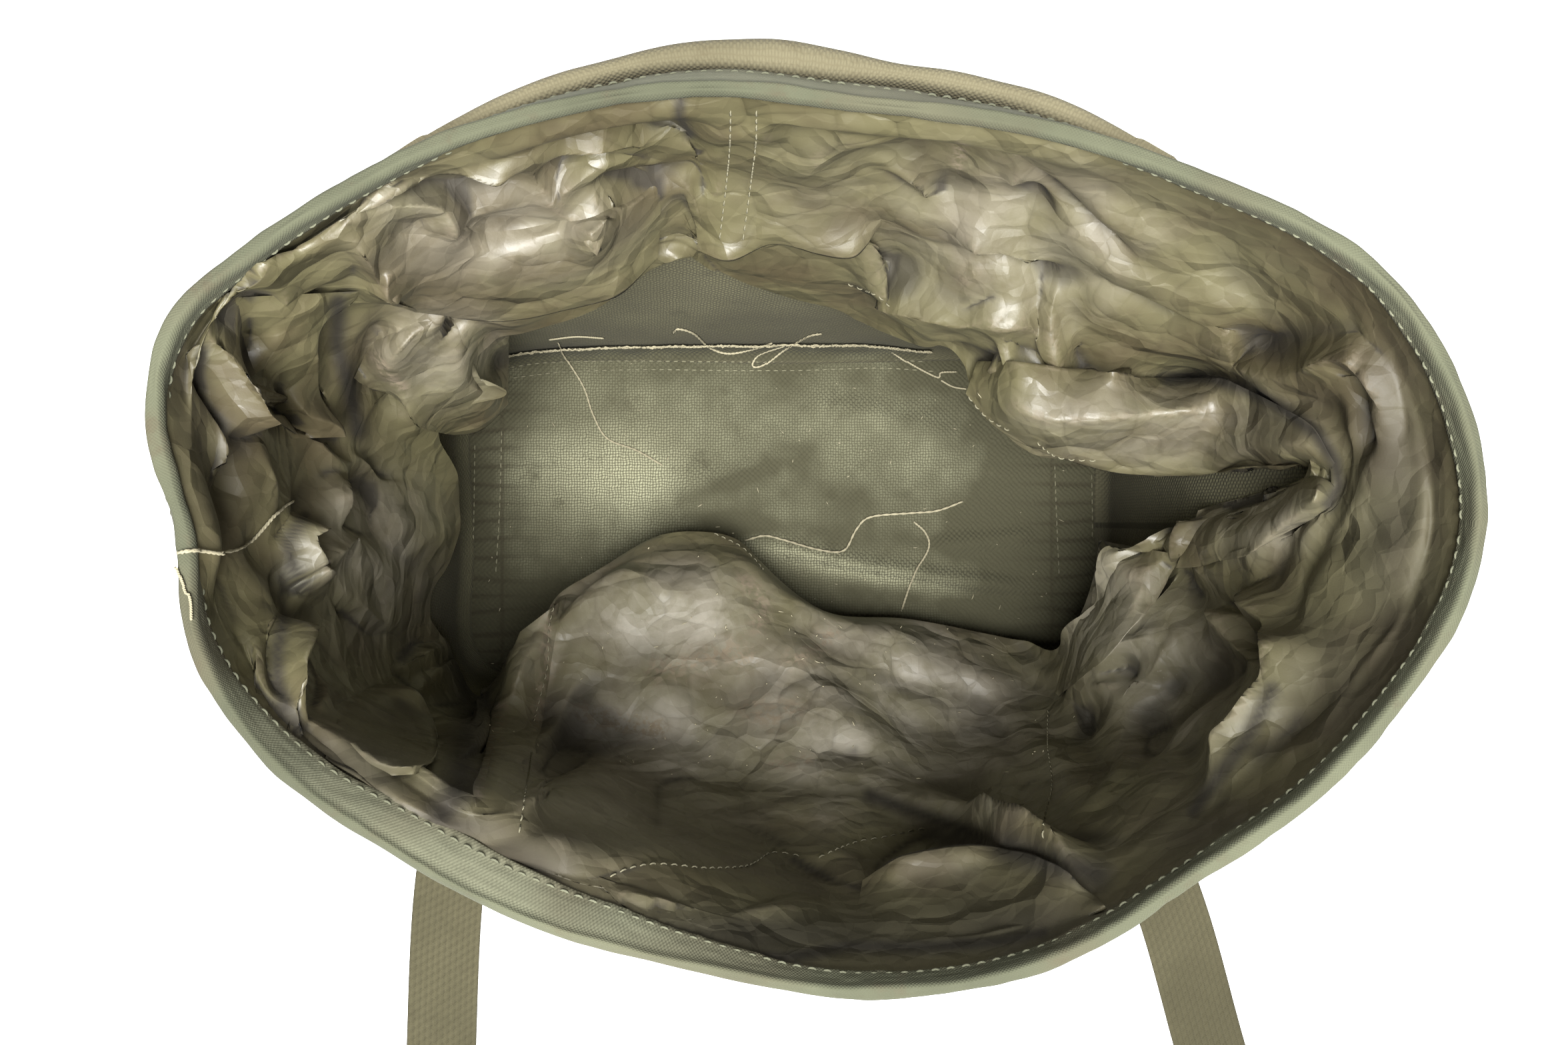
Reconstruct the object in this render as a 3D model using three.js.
// A canvas field pack that stands open: four canvas walls on a bottom panel, a tape-bound mouth,
// a rubber-coated throat collar tucked down inside, a lid flap folded back and two webbing straps.
// Millimetres, +Z up. The origin is the middle of the bottom panel's underside, -Y is the front.
import * as THREE from "three";

// Driving dimensions
const bottomWidth = 240; // across the bottom, seam to seam
const bottomDepth = 126; // front to back across the bottom
const bottomSquareness = 7; // power of the rounded rectangle: higher is squarer
const canvasThick = 1.2;
const coatedThick = 1.0; // rubber-coated cloth of the collar
const tapeThick = 1.0; // binding tape
const flapThick = 1.6; // two layers of canvas
const strapThick = 1.6;
const strapWidth = 25.4;
const seamGap = 0.3; // clearance between sewn pieces
const toeRadius = 8; // how roundly the walls turn in under the pack
const bindingLeg = 9; // height of the tape on each side of the mouth
const collarTuck = 13; // how far the collar lies flat on the wall, below the mouth's edge
const edgeDrops = [collarTuck, bindingLeg, seamGap]; // the walls' last rows, below the mouth's edge
const flapLength = 196; // from the flap's seam to its free edge
const flapSeamDrop = 15; // the flap's seam, below the mouth's edge

// The mouth, pulled open. out: wall radius from the pack's axis; rise: height of the edge;
// belly: outward swell at half height; tuck: swell just under the edge, where the edge leans in.
const mouth = [
  { at: 0, out: 143.2, rise: 214, belly: 3, tuck: 0 },
  { at: 20, out: 134.7, rise: 214, belly: 4, tuck: 0 },
  { at: 40, out: 110.7, rise: 213, belly: 4, tuck: 3 },
  { at: 60, out: 95.1, rise: 213, belly: 4, tuck: 9 },
  { at: 80, out: 87.5, rise: 214, belly: 5, tuck: 11 },
  { at: 100, out: 90.3, rise: 215, belly: 5, tuck: 11 },
  { at: 120, out: 97.4, rise: 215, belly: 4, tuck: 8 },
  { at: 140, out: 110.7, rise: 214, belly: 3, tuck: 3 },
  { at: 152, out: 121.6, rise: 214, belly: 2, tuck: 1 },
  { at: 162, out: 131.2, rise: 215, belly: 2, tuck: 2 },
  { at: 171, out: 130.6, rise: 214, belly: 2, tuck: 6 },
  { at: 181, out: 124.0, rise: 213, belly: 3, tuck: 7 },
  { at: 191, out: 123.8, rise: 214, belly: 3, tuck: 3 },
  { at: 205, out: 116.0, rise: 214, belly: 3, tuck: -2 },
  { at: 220, out: 104.8, rise: 213, belly: 3, tuck: -5 },
  { at: 240, out: 96.4, rise: 212, belly: 6, tuck: -5 },
  { at: 260, out: 93.5, rise: 212, belly: 8, tuck: -3 },
  { at: 280, out: 98.2, rise: 213, belly: 8, tuck: -2 },
  { at: 300, out: 104.7, rise: 214, belly: 6, tuck: 0 },
  { at: 320, out: 111.5, rise: 214, belly: 4, tuck: 0 },
  { at: 340, out: 127.9, rise: 214, belly: 3, tuck: -2 },
];

// Soft dents and swells of the walls. height: share of the wall; wide: degrees; tall: share; depth: outwards.
const wallDents = [
  { at: 268, height: 0.34, wide: 26, tall: 0.2, depth: -5 },
  { at: 236, height: 0.55, wide: 9, tall: 0.3, depth: 3 },
  { at: 304, height: 0.5, wide: 9, tall: 0.3, depth: 3 },
  { at: 92, height: 0.4, wide: 24, tall: 0.22, depth: -4 },
  { at: 4, height: 0.45, wide: 9, tall: 0.35, depth: -6 },
  { at: 184, height: 0.45, wide: 9, tall: 0.35, depth: -6 },
];

// The four walls between the corner seams, in degrees round the pack.
const walls = [
  { name: "side_wall_right", from: -28, to: 28, columns: 12 },
  { name: "back_wall", from: 28, to: 152, columns: 20 },
  { name: "side_wall_left", from: 152, to: 208, columns: 12 },
  { name: "front_wall", from: 208, to: 332, columns: 20 },
];
const cornerCrowding = 0.5; // how much closer the columns stand near the corner seams
const wallHeights = [0.8, 2.2, 4.6, 8, 30, 60, 95, 130, 160, 182]; // rows, from the ground up

// The collar hangs from the mouth through a shoulder and a belly to its hem. Each row is one
// section of it: the angle where it is sewn in, then x, y and height of the three lower stations.
const collarSections = [
  { at: 0, sx: 128, sy: 2, sz: 150, bx: 111, by: 2, bz: 92, hx: 108, hy: 4, hz: 34 },
  { at: 18, sx: 118, sy: 34, sz: 160, bx: 104, by: 25, bz: 118, hx: 96, hy: 18, hz: 82 },
  { at: 32, sx: 101, sy: 55, sz: 162, bx: 82, by: 40, bz: 128, hx: 70, hy: 36, hz: 88 },
  { at: 50, sx: 65, sy: 74, sz: 165, bx: 58, by: 60, bz: 135, hx: 47, hy: 51, hz: 96 },
  { at: 70, sx: 31, sy: 80, sz: 162, bx: 30, by: 74, bz: 125, hx: 26, hy: 63, hz: 88 },
  { at: 90, sx: 0, sy: 83, sz: 160, bx: -2, by: 78, bz: 120, hx: -3, hy: 68, hz: 80 },
  { at: 110, sx: -32, sy: 84, sz: 168, bx: -32, by: 72, bz: 138, hx: -30, hy: 70, hz: 104 },
  { at: 130, sx: -66, sy: 72, sz: 168, bx: -62, by: 58, bz: 140, hx: -56, hy: 56, hz: 106 },
  { at: 148, sx: -97, sy: 56, sz: 165, bx: -86, by: 46, bz: 130, hx: -80, hy: 47, hz: 96 },
  { at: 163, sx: -115, sy: 36, sz: 160, bx: -101, by: 30, bz: 118, hx: -88, hy: 28, hz: 78 },
  { at: 180, sx: -118, sy: 4, sz: 152, bx: -112, by: 6, bz: 105, hx: -105, hy: 8, hz: 48 },
  { at: 197, sx: -113, sy: -30, sz: 150, bx: -111, by: -26, bz: 100, hx: -110, hy: -20, hz: 44 },
  { at: 211, sx: -101, sy: -54, sz: 150, bx: -106, by: -45, bz: 88, hx: -107, hy: -42, hz: 26 },
  { at: 222, sx: -80, sy: -66, sz: 140, bx: -88, by: -52, bz: 62, hx: -99, hy: -46, hz: 16 },
  { at: 236, sx: -58, sy: -74, sz: 134, bx: -64, by: -46, bz: 50, hx: -76, hy: -20, hz: 22 },
  { at: 252, sx: -30, sy: -80, sz: 136, bx: -36, by: -48, bz: 48, hx: -33, hy: -1, hz: 22 },
  { at: 270, sx: 0, sy: -82, sz: 138, bx: -2, by: -50, bz: 50, hx: -4, hy: -8, hz: 20 },
  { at: 288, sx: 33, sy: -84, sz: 140, bx: 33, by: -52, bz: 52, hx: 30, hy: -28, hz: 22 },
  { at: 304, sx: 62, sy: -78, sz: 142, bx: 68, by: -50, bz: 54, hx: 82, hy: -34, hz: 24 },
  { at: 320, sx: 88, sy: -65, sz: 150, bx: 96, by: -44, bz: 84, hx: 92, hy: -38, hz: 46 },
  { at: 336, sx: 112, sy: -45, sz: 152, bx: 106, by: -30, bz: 92, hx: 100, hy: -22, hz: 42 },
];
const collarKnots = [0, 0.06, 0.4, 0.72, 1]; // share of the collar's length at each station
const collarRows = [1, 0.95, 0.89, 0.83, 0.77, 0.71, 0.65, 0.59, 0.53, 0.47, 0.4, 0.34, 0.28, 0.2, 0.14, 0.1];
const collarClear = 1.4; // kept between the hanging collar and the walls

// Main folds of the collar. from, to: share of its length; wide: degrees; lean: degrees that the
// fold drifts between its ends; depth: inwards.
const collarFolds = [
  { at: 8, from: 0.2, to: 0.7, wide: 8, lean: 10, depth: 10 },
  { at: 24, from: 0.25, to: 0.95, wide: 7, lean: -8, depth: 14 },
  { at: 42, from: 0.12, to: 0.7, wide: 7, lean: 14, depth: -9 },
  { at: 58, from: 0.3, to: 0.9, wide: 8, lean: -8, depth: 10 },
  { at: 98, from: 0.1, to: 0.8, wide: 6, lean: 2, depth: -8 },
  { at: 106, from: 0.15, to: 0.95, wide: 7, lean: 8, depth: 10 },
  { at: 124, from: 0.25, to: 0.85, wide: 9, lean: 10, depth: 12 },
  { at: 141, from: 0.2, to: 0.9, wide: 7, lean: -6, depth: 10 },
  { at: 156, from: 0.15, to: 0.8, wide: 6, lean: 8, depth: -10 },
  { at: 168, from: 0.2, to: 0.95, wide: 7, lean: -6, depth: 14 },
  { at: 190, from: 0.15, to: 0.8, wide: 6, lean: 6, depth: 10 },
  { at: 228, from: 0.35, to: 0.9, wide: 7, lean: -4, depth: 9 },
  { at: 244, from: 0.5, to: 1.0, wide: 8, lean: 6, depth: 9 },
  { at: 262, from: 0.45, to: 0.9, wide: 6, lean: 8, depth: -8 },
  { at: 278, from: 0.5, to: 1.0, wide: 7, lean: -6, depth: 10 },
  { at: 312, from: 0.3, to: 0.9, wide: 7, lean: 10, depth: 12 },
  { at: 328, from: 0.25, to: 0.95, wide: 7, lean: -8, depth: 14 },
  { at: 346, from: 0.2, to: 0.8, wide: 7, lean: 8, depth: -9 },
];

// The straps: the angle where each is sewn on, then its way along the ground to its end.
const straps = [
  { name: "strap_left", at: 210.5, way: [[-118, -104], [-123.7, -140], [-126, -192], [-126.5, -232]] },
  { name: "strap_right", at: 329.5, way: [[127, -104], [143, -144], [156.4, -192], [168, -232]] },
];
const strapPatch = { low: 12, high: 40 }; // the sewn end, on the wall

// Flap, section by section down from its seam. way: share of its length; off: how far it stands
// off the back wall; fall: how far below the seam.
const flapSections = [
  { way: 0, off: 0, fall: 2 },
  { way: 0.05, off: 1.6, fall: -4 },
  { way: 0.1, off: 6, fall: -2.5 },
  { way: 0.18, off: 9, fall: 12 },
  { way: 0.4, off: 9.5, fall: 60 },
  { way: 0.7, off: 8, fall: 122 },
  { way: 1, off: 8.5, fall: flapLength - 6 },
];
const flapSpan = { from: 42, to: 138, columns: 16, rows: 12 };
const flapCorner = 34; // radius of its free corners
// Long soft waves down the flap. at, wide: degrees; depth: outwards at the free edge.
const flapWaves = [
  { at: 60, wide: 22, depth: 4 },
  { at: 94, wide: 26, depth: 3 },
  { at: 124, wide: 18, depth: -3 },
];

const palette = {
  canvas: { color: 0x6f6c4e, roughness: 0.95 },
  tape: { color: 0x8b8f74, roughness: 0.9 },
  coated: { color: 0x55503c, roughness: 0.42 },
  flap: { color: 0x7d7555, roughness: 0.95 },
  webbing: { color: 0x7c7453, roughness: 0.95 },
};

// Helpers

const radians = THREE.MathUtils.degToRad;

// A bump that is 1 at zero and falls smoothly to 0 at one width away.
function bump(distance, width) {
  const share = Math.min(1, Math.abs(distance) / width);
  return 0.5 + 0.5 * Math.cos(Math.PI * share);
}

// The shortest way round from one angle to another, in degrees.
function turnBetween(from, to) {
  return THREE.MathUtils.euclideanModulo(to - from + 180, 360) - 180;
}

// One cubic through four values with uneven spacing, at t between the middle two.
function cubic(x, y, t) {
  const slopeA = (y[2] - y[0]) / (x[2] - x[0]);
  const slopeB = (y[3] - y[1]) / (x[3] - x[1]);
  const span = x[2] - x[1];
  const s = (t - x[1]) / span;
  const a = 2 * y[1] - 2 * y[2] + (slopeA + slopeB) * span;
  const b = 3 * (y[2] - y[1]) - (2 * slopeA + slopeB) * span;
  return ((a * s + b) * s + slopeA * span) * s + y[1];
}

// Reads every column of a table that runs once round the pack, at any angle.
function roundTable(table, degrees) {
  const count = table.length;
  const angle = THREE.MathUtils.euclideanModulo(degrees - table[0].at, 360) + table[0].at;
  let low = count - 1;
  while (table[low].at > angle) low -= 1;
  const near = [-1, 0, 1, 2].map((step) => {
    const index = low + step;
    const turn = Math.floor(index / count);
    return { row: table[index - turn * count], at: table[index - turn * count].at + 360 * turn };
  });
  const read = {};
  for (const column of Object.keys(table[0])) {
    if (column === "at") continue;
    read[column] = cubic(near.map((n) => n.at), near.map((n) => n.row[column]), angle);
  }
  return read;
}

// A smooth run through a few stations, at a share of the way.
function through(points, knots, share) {
  let low = 0;
  while (low < knots.length - 2 && knots[low + 1] < share) low += 1;
  const pick = [low - 1, low, low + 1, low + 2].map((i) => Math.min(Math.max(i, 0), knots.length - 1));
  const x = pick.map((i) => knots[i]);
  if (low === 0) x[0] = x[1] - (x[2] - x[1]);
  if (low === knots.length - 2) x[3] = x[2] + (x[2] - x[1]);
  const column = (key) => cubic(x, pick.map((i) => points[i][key]), share);
  return new THREE.Vector3(column("x"), column("y"), column("z"));
}

// Joins a grid of points on two faces into one closed sheet. face 0 is the inner one, 1 the outer.
function thickSheet(columns, rows, pointAt, loop) {
  const lines = loop ? columns : columns + 1;
  const positions = [];
  const index = [];
  for (let c = 0; c < lines; c += 1)
    for (let r = 0; r <= rows; r += 1)
      for (const face of [0, 1]) positions.push(...pointAt(c, r, face).toArray());
  const id = (c, r, face) => ((c % lines) * (rows + 1) + r) * 2 + face;
  const quad = (a, b, c, d) => index.push(a, b, c, a, c, d);
  for (let c = 0; c < columns; c += 1) {
    for (let r = 0; r < rows; r += 1) {
      quad(id(c, r, 1), id(c + 1, r, 1), id(c + 1, r + 1, 1), id(c, r + 1, 1));
      quad(id(c, r, 0), id(c, r + 1, 0), id(c + 1, r + 1, 0), id(c + 1, r, 0));
    }
    quad(id(c, 0, 0), id(c + 1, 0, 0), id(c + 1, 0, 1), id(c, 0, 1));
    quad(id(c, rows, 1), id(c + 1, rows, 1), id(c + 1, rows, 0), id(c, rows, 0));
  }
  if (!loop)
    for (let r = 0; r < rows; r += 1) {
      quad(id(0, r, 0), id(0, r, 1), id(0, r + 1, 1), id(0, r + 1, 0));
      quad(id(columns, r, 1), id(columns, r, 0), id(columns, r + 1, 0), id(columns, r + 1, 1));
    }
  const geometry = new THREE.BufferGeometry();
  geometry.setAttribute("position", new THREE.Float32BufferAttribute(positions, 3));
  geometry.setIndex(index);
  geometry.computeVertexNormals();
  return geometry;
}

function piece(name, geometry, finish) {
  const material = new THREE.MeshStandardMaterial({ ...palette[finish], metalness: 0 });
  const mesh = new THREE.Mesh(geometry, material);
  mesh.name = name;
  return mesh;
}

// Walls

// Radius of the bottom's rounded rectangle, seen from the pack's axis.
function footRadius(degrees) {
  const across = Math.abs(Math.cos(radians(degrees))) / (bottomWidth / 2);
  const along = Math.abs(Math.sin(radians(degrees))) / (bottomDepth / 2);
  return (across ** bottomSquareness + along ** bottomSquareness) ** (-1 / bottomSquareness);
}

function toeInset(height) {
  if (height >= toeRadius) return 0;
  return toeRadius - Math.sqrt(toeRadius ** 2 - (toeRadius - height) ** 2);
}

// Middle of the canvas at an angle and a height.
function wallMiddle(degrees, height) {
  const edge = roundTable(mouth, degrees);
  const up = Math.max(height, 0) / edge.rise;
  let radius = THREE.MathUtils.lerp(footRadius(degrees), edge.out, up ** 1.15);
  radius += edge.belly * 4 * up * (1 - up);
  radius += edge.tuck * Math.sin(Math.PI * up ** 4.2);
  for (const dent of wallDents) {
    const aside = bump(turnBetween(dent.at, degrees), 2 * dent.wide);
    radius += dent.depth * aside * bump(up - dent.height, 2 * dent.tall);
  }
  radius -= toeInset(height);
  return new THREE.Vector3(radius * Math.cos(radians(degrees)), radius * Math.sin(radians(degrees)), height);
}

// A point beside the canvas: off is outwards from its middle, square to it.
function besideWall(degrees, height, off) {
  const turn = 0.5;
  const rise = 0.5;
  const lower = Math.max(height - rise, 0.05);
  const along = wallMiddle(degrees + turn, height).sub(wallMiddle(degrees - turn, height));
  const upward = wallMiddle(degrees, lower + 2 * rise).sub(wallMiddle(degrees, lower));
  const out = along.cross(upward).normalize();
  return wallMiddle(degrees, height).addScaledVector(out, off);
}

const edgeHeight = (degrees) => roundTable(mouth, degrees).rise;

// Angle of one of a wall's columns: they stand closer together near its seams.
function columnAngle({ from, to, columns }, c) {
  const share = c / columns;
  const crowded = share - (cornerCrowding * Math.sin(2 * Math.PI * share)) / (2 * Math.PI);
  return THREE.MathUtils.lerp(from, to, crowded);
}

// Every column angle once round the pack, so that neighbouring pieces share their facets.
const roundAngles = walls.flatMap((wall) => {
  const columns = Array.from({ length: wall.columns }, (_, c) => c);
  return columns.map((c) => columnAngle(wall, c));
});

function wallPanel(wall) {
  const slack = THREE.MathUtils.radToDeg(seamGap / Math.hypot(bottomWidth, bottomDepth));
  const rows = wallHeights.length + edgeDrops.length - 1;
  const geometry = thickSheet(
    wall.columns,
    rows,
    (c, r, face) => {
      const inset = c === 0 ? slack : c === wall.columns ? -slack : 0;
      const degrees = columnAngle(wall, c) + inset;
      const fromGround = wallHeights[r];
      const fromEdge = edgeHeight(degrees) - edgeDrops[r - wallHeights.length];
      return besideWall(degrees, fromGround ?? fromEdge, (face - 0.5) * canvasThick);
    },
    false,
  );
  return piece(wall.name, geometry, "canvas");
}

function bottomPanel() {
  const corners = roundAngles.map((degrees) => {
    const foot = wallMiddle(degrees, wallHeights[0]);
    const margin = foot.clone().normalize().multiplyScalar(canvasThick / 2 + seamGap);
    return new THREE.Vector2(foot.x - margin.x, foot.y - margin.y);
  });
  const outline = new THREE.Shape(corners);
  const geometry = new THREE.ExtrudeGeometry(outline, { depth: canvasThick, bevelEnabled: false });
  return piece("bottom_panel", geometry, "canvas");
}

// Mouth binding: a folded tape that straddles the canvas and the collar's top edge.
function mouthBinding() {
  const innerFace = -(canvasThick / 2 + seamGap + coatedThick + seamGap);
  const outerFace = canvasThick / 2 + seamGap;
  const section = [
    { off: outerFace, drop: bindingLeg },
    { off: outerFace + tapeThick, drop: bindingLeg },
    { off: outerFace + tapeThick, drop: 0.2 },
    { off: outerFace + 0.2 * tapeThick, drop: -tapeThick },
    { off: innerFace - 0.2 * tapeThick, drop: -tapeThick },
    { off: innerFace - tapeThick, drop: 0.2 },
    { off: innerFace - tapeThick, drop: bindingLeg },
    { off: innerFace, drop: bindingLeg },
    { off: innerFace, drop: 0 },
    { off: outerFace, drop: 0 },
  ];
  const columns = roundAngles.length;
  const positions = [];
  const index = [];
  for (const degrees of roundAngles) {
    const top = edgeHeight(degrees);
    for (const corner of section) {
      const point = besideWall(degrees, top - Math.max(corner.drop, 0), corner.off);
      point.z -= Math.min(corner.drop, 0);
      positions.push(...point.toArray());
    }
  }
  const id = (c, i) => (c % columns) * section.length + (i % section.length);
  for (let c = 0; c < columns; c += 1)
    for (let i = 0; i < section.length; i += 1) {
      const corners = [id(c, i), id(c + 1, i), id(c + 1, i + 1), id(c, i + 1)];
      // The same diagonal as the canvas it wraps.
      const climbing = section[i].drop > section[(i + 1) % section.length].drop;
      const order = climbing ? [0, 1, 2, 0, 2, 3] : [0, 1, 3, 1, 2, 3];
      index.push(...order.map((corner) => corners[corner]));
    }
  const geometry = new THREE.BufferGeometry();
  geometry.setAttribute("position", new THREE.Float32BufferAttribute(positions, 3));
  geometry.setIndex(index);
  geometry.computeVertexNormals();
  return piece("mouth_binding", geometry, "tape");
}

// Collar

// Keeps a point of the collar clear of the walls and of the bottom.
function insidePack(point) {
  const lowest = canvasThick + coatedThick;
  point.z = Math.max(point.z, lowest);
  const degrees = THREE.MathUtils.radToDeg(Math.atan2(point.y, point.x));
  const wall = wallMiddle(degrees, point.z);
  const most = Math.hypot(wall.x, wall.y) - canvasThick / 2 - coatedThick - collarClear;
  const radius = Math.hypot(point.x, point.y);
  if (radius > most) point.multiply(new THREE.Vector3(most / radius, most / radius, 1));
  return point;
}

// Middle of the coated cloth before its folds, at an angle and a share of the way down.
function collarHang(degrees, share) {
  const top = edgeHeight(degrees);
  const off = -(canvasThick / 2 + seamGap + coatedThick / 2);
  if (share <= collarKnots[1]) {
    const drop = THREE.MathUtils.lerp(2 * seamGap, collarTuck, share / collarKnots[1]);
    return besideWall(degrees, top - drop, off);
  }
  const row = roundTable(collarSections, degrees);
  const stations = [
    besideWall(degrees, top - 2 * seamGap, off),
    besideWall(degrees, top - collarTuck, off),
    { x: row.sx, y: row.sy, z: row.sz },
    { x: row.bx, y: row.by, z: row.bz },
    { x: row.hx, y: row.hy, z: row.hz },
  ];
  return through(stations, collarKnots, share);
}

function collarNormal(surface, degrees, share) {
  const turn = 1.5;
  const step = 0.02;
  const low = Math.min(share + step, 1);
  const high = Math.max(share - step, 0);
  const along = surface(degrees + turn, share).sub(surface(degrees - turn, share));
  const upward = surface(degrees, high).sub(surface(degrees, low));
  return along.cross(upward).normalize();
}

function foldDepth(degrees, share) {
  let depth = 0;
  for (const fold of collarFolds) {
    const middle = (fold.from + fold.to) / 2;
    const reach = (fold.to - fold.from) / 2;
    const drift = fold.lean * (share - middle);
    const aside = bump(turnBetween(fold.at + drift, degrees), fold.wide);
    depth += fold.depth * aside * bump(share - middle, reach);
  }
  return depth;
}

function collarMiddle(degrees, share) {
  const point = collarHang(degrees, share);
  if (share <= collarKnots[1]) return point;
  point.addScaledVector(collarNormal(collarHang, degrees, share), -foldDepth(degrees, share));
  return insidePack(point);
}

function throatCollar() {
  const shares = collarRows.slice();
  const sewn = (drop) => (collarKnots[1] * (drop - 2 * seamGap)) / (collarTuck - 2 * seamGap);
  shares.push(collarKnots[1], sewn(bindingLeg), 0);
  const geometry = thickSheet(
    roundAngles.length,
    shares.length - 1,
    (c, r, face) => {
      const degrees = roundAngles[c];
      const surface = shares[r] <= collarKnots[1] ? collarHang : collarMiddle;
      const out = collarNormal(surface, degrees, shares[r]);
      return surface(degrees, shares[r]).addScaledVector(out, (face - 0.5) * coatedThick);
    },
    true,
  );
  return piece("throat_collar", geometry, "coated");
}

// Lid flap, sewn to the back wall just under the mouth and hanging down behind it.
function lidFlap() {
  const { from, to, columns, rows } = flapSpan;
  const ways = flapSections.map((section) => section.way);
  const path = (degrees, share) => {
    const seam = edgeHeight(degrees) - flapSeamDrop;
    const start = besideWall(degrees, seam, canvasThick / 2 + seamGap + flapThick / 2);
    const outward = new THREE.Vector3(start.x, start.y, 0).normalize();
    const fromEnd = Math.min(degrees - from, to - degrees) / 20;
    const roll = THREE.MathUtils.smoothstep(fromEnd, -0.6, 1);
    const wave = flapWaves.reduce((sum, w) => sum + w.depth * bump(turnBetween(w.at, degrees), w.wide), 0);
    const stations = flapSections.map(({ way, off, fall }) => {
      const hang = start.clone().addScaledVector(outward, off * roll + wave * way);
      return hang.setZ(seam - fall);
    });
    return through(stations, ways, share);
  };
  // The free corners are rounded: the flap is shorter towards its two sides.
  const reach = (degrees) => {
    const fromSide = Math.min(degrees - from, to - degrees) * radians(1) * 105;
    const inCorner = Math.max(0, flapCorner - fromSide);
    const shorter = flapCorner - Math.sqrt(flapCorner ** 2 - inCorner ** 2);
    return 1 - shorter / flapLength;
  };
  const geometry = thickSheet(
    columns,
    rows,
    (c, r, face) => {
      const crowded = c / columns - (0.6 * Math.sin((2 * Math.PI * c) / columns)) / (2 * Math.PI);
      const degrees = THREE.MathUtils.lerp(from, to, crowded);
      const share = reach(degrees) * (1 - (r / rows) ** 0.6);
      const along = path(degrees + 1, share).sub(path(degrees - 1, share));
      const upward = path(degrees, Math.max(share - 0.01, 0)).sub(path(degrees, Math.min(share + 0.01, 1)));
      const out = along.cross(upward).normalize();
      return path(degrees, share).addScaledVector(out, (face - 0.5) * flapThick);
    },
    false,
  );
  return piece("lid_flap", geometry, "flap");
}

// Webbing strap: sewn flat on the foot of the wall, then out along the ground.
function strap({ name, at, way: ground }) {
  const clear = canvasThick / 2 + 3 * seamGap + strapThick / 2;
  const step = wallMiddle(at + 0.5, strapPatch.low).distanceTo(wallMiddle(at - 0.5, strapPatch.low));
  const lying = strapThick / 2;
  const start = besideWall(at, strapPatch.low, clear).setZ(lying);
  const way = [start, ...ground.map(([x, y]) => new THREE.Vector3(x, y, lying))];
  const heading = way[1].clone().sub(start).normalize();
  const sideOf = (i) => {
    const run = way[Math.min(i + 1, way.length - 1)].clone().sub(way[Math.max(i - 1, 0)]);
    return new THREE.Vector3(-run.y, run.x, 0).normalize();
  };
  // One lengthwise line of the webbing, a distance to the side of its middle.
  const lengthwise = (side) => {
    const degrees = at + side / step;
    const high = besideWall(degrees, strapPatch.high, clear);
    const low = besideWall(degrees, strapPatch.low, clear);
    const foot = low.clone().lerp(start.clone().addScaledVector(sideOf(0), side), 0.5);
    const onGround = way.slice(1).map((point, i) => point.clone().addScaledVector(sideOf(i + 1), side));
    const bend = [
      foot.clone().addScaledVector(heading, 5).setZ(4.6),
      foot.clone().addScaledVector(heading, 13).setZ(1.6),
    ];
    const line = [high, high.clone().lerp(low, 0.5), low, ...bend, ...onGround];
    return new THREE.CatmullRomCurve3(line, false, "centripetal");
  };
  const rows = 28;
  const columns = 4;
  const lines = Array.from({ length: columns + 1 }, (_, c) => lengthwise((c / columns - 0.5) * strapWidth));
  const geometry = thickSheet(
    columns,
    rows,
    (c, r, face) => {
      const share = 1 - r / rows;
      const beyond = lines[Math.min(c + 1, columns)].getPoint(share);
      const across = beyond.sub(lines[Math.max(c - 1, 0)].getPoint(share));
      const lift = across.cross(lines[c].getTangent(share)).normalize().negate();
      const point = lines[c].getPoint(share).addScaledVector(lift, (face - 0.5) * strapThick);
      return point.setZ(Math.max(point.z, face * strapThick));
    },
    false,
  );
  return piece(name, geometry, "webbing");
}

const pack = new THREE.Group();
pack.name = "field_pack";
walls.forEach((wall) => pack.add(wallPanel(wall)));
pack.add(bottomPanel(), mouthBinding(), throatCollar(), lidFlap());
straps.forEach((row) => pack.add(strap(row)));

export default pack;
